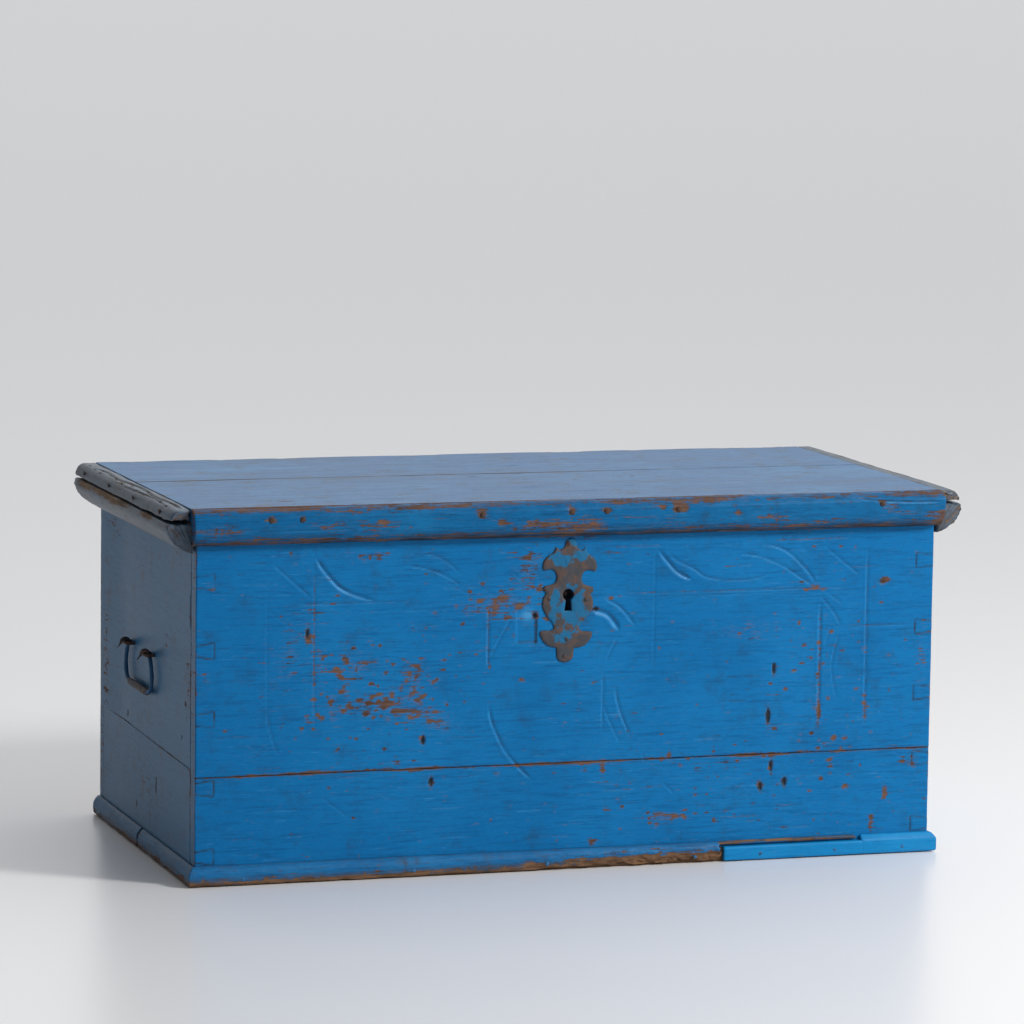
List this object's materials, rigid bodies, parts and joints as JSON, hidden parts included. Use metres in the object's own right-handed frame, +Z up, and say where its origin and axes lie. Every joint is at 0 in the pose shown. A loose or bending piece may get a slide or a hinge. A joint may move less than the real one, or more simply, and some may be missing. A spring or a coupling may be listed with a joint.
{
  "type": "blanket chest",
  "caption": "Low dovetailed pine chest with a hinged flat lid, foot moulding, iron key plate, chest lock and a drop handle on each end.",
  "frame": {"origin": "on the floor under the middle of the chest's bounding box", "axes": "+X along the length, to the right seen from the front; +Y towards the back; +Z up"},
  "size_m": [1.24, 0.6388, 0.555],
  "materials": {
    "front_paint": "worn blue oil paint on pine",
    "side_paint": "duller slate blue paint on pine",
    "bare_pine": "bare aged pine",
    "base_paint": "worn blue paint, rubbed to the wood on the edges",
    "lid_paint": "pale dusty blue paint",
    "moulding_paint": "worn blue paint, orange wood on the edges",
    "key_plate_iron": "iron painted blue with the wood",
    "handle_iron": "iron painted blue, grip rubbed bare",
    "dark_iron": "dark forged iron"
  },
  "bodies": {
    "carcass": {"front_upper_board": "front_paint", "front_lower_board": "front_paint", "left_upper_board": "side_paint", "left_lower_board": "side_paint", "right_upper_board": "side_paint", "right_lower_board": "side_paint", "back_upper_board": "bare_pine", "back_lower_board": "bare_pine", "bottom_board_front": "bare_pine", "bottom_board_middle": "bare_pine", "bottom_board_back": "bare_pine", "front_base_moulding": "base_paint", "front_base_repair": "base_paint", "left_base_front": "base_paint", "left_base_back": "base_paint", "right_base_moulding": "base_paint", "base_nails": "dark_iron", "bottom_nails": "dark_iron", "escutcheon_nails": "dark_iron", "lock_nails": "dark_iron", "hinge_leaf_nails": "dark_iron", "escutcheon": "key_plate_iron", "lock_plate": "dark_iron", "lock_case": "dark_iron", "bolt_guides": "dark_iron", "bolt_spring": "dark_iron", "key_post": "dark_iron", "lock_ward": "dark_iron", "hinge_back_leaf_left": "dark_iron", "hinge_back_leaf_right": "dark_iron", "hinge_pins": "dark_iron", "left_handle_staples": "dark_iron", "right_handle_staples": "dark_iron"},
    "lid": {"lid_front_board": "lid_paint", "lid_back_board": "lid_paint", "lid_front_moulding": "moulding_paint", "left_end_cap": "lid_paint", "right_end_cap": "lid_paint", "left_end_cleat": "moulding_paint", "right_end_cleat": "moulding_paint", "lid_moulding_nails": "dark_iron", "lid_end_nails": "dark_iron", "hinge_strap_left": "dark_iron", "hinge_strap_right": "dark_iron", "hinge_strap_nails": "dark_iron", "lid_hasp": "dark_iron", "hasp_nails": "dark_iron"},
    "lock_bolt": {"lock_bolt": "dark_iron"},
    "left_handle": {"left_handle_bail": "handle_iron"},
    "right_handle": {"right_handle_bail": "handle_iron"}
  },
  "joints": [
    {"name": "lid_hinge", "type": "hinge", "parent": "carcass", "child": "lid", "pos_m": [0, 0.3134, 0.527], "axis": [-1, 0, 0], "range_deg": [0, 100]},
    {"name": "left_handle_swing", "type": "hinge", "parent": "carcass", "child": "left_handle", "pos_m": [-0.588, 0.0249, 0.304], "axis": [0, 1, 0], "range_deg": [0, 160]},
    {"name": "right_handle_swing", "type": "hinge", "parent": "carcass", "child": "right_handle", "pos_m": [0.588, 0.0249, 0.304], "axis": [0, -1, 0], "range_deg": [0, 160]},
    {"name": "bolt_throw", "type": "slide", "parent": "carcass", "child": "lock_bolt", "axis": [1, 0, 0], "range_m": [0, 0.014]}
  ]
}
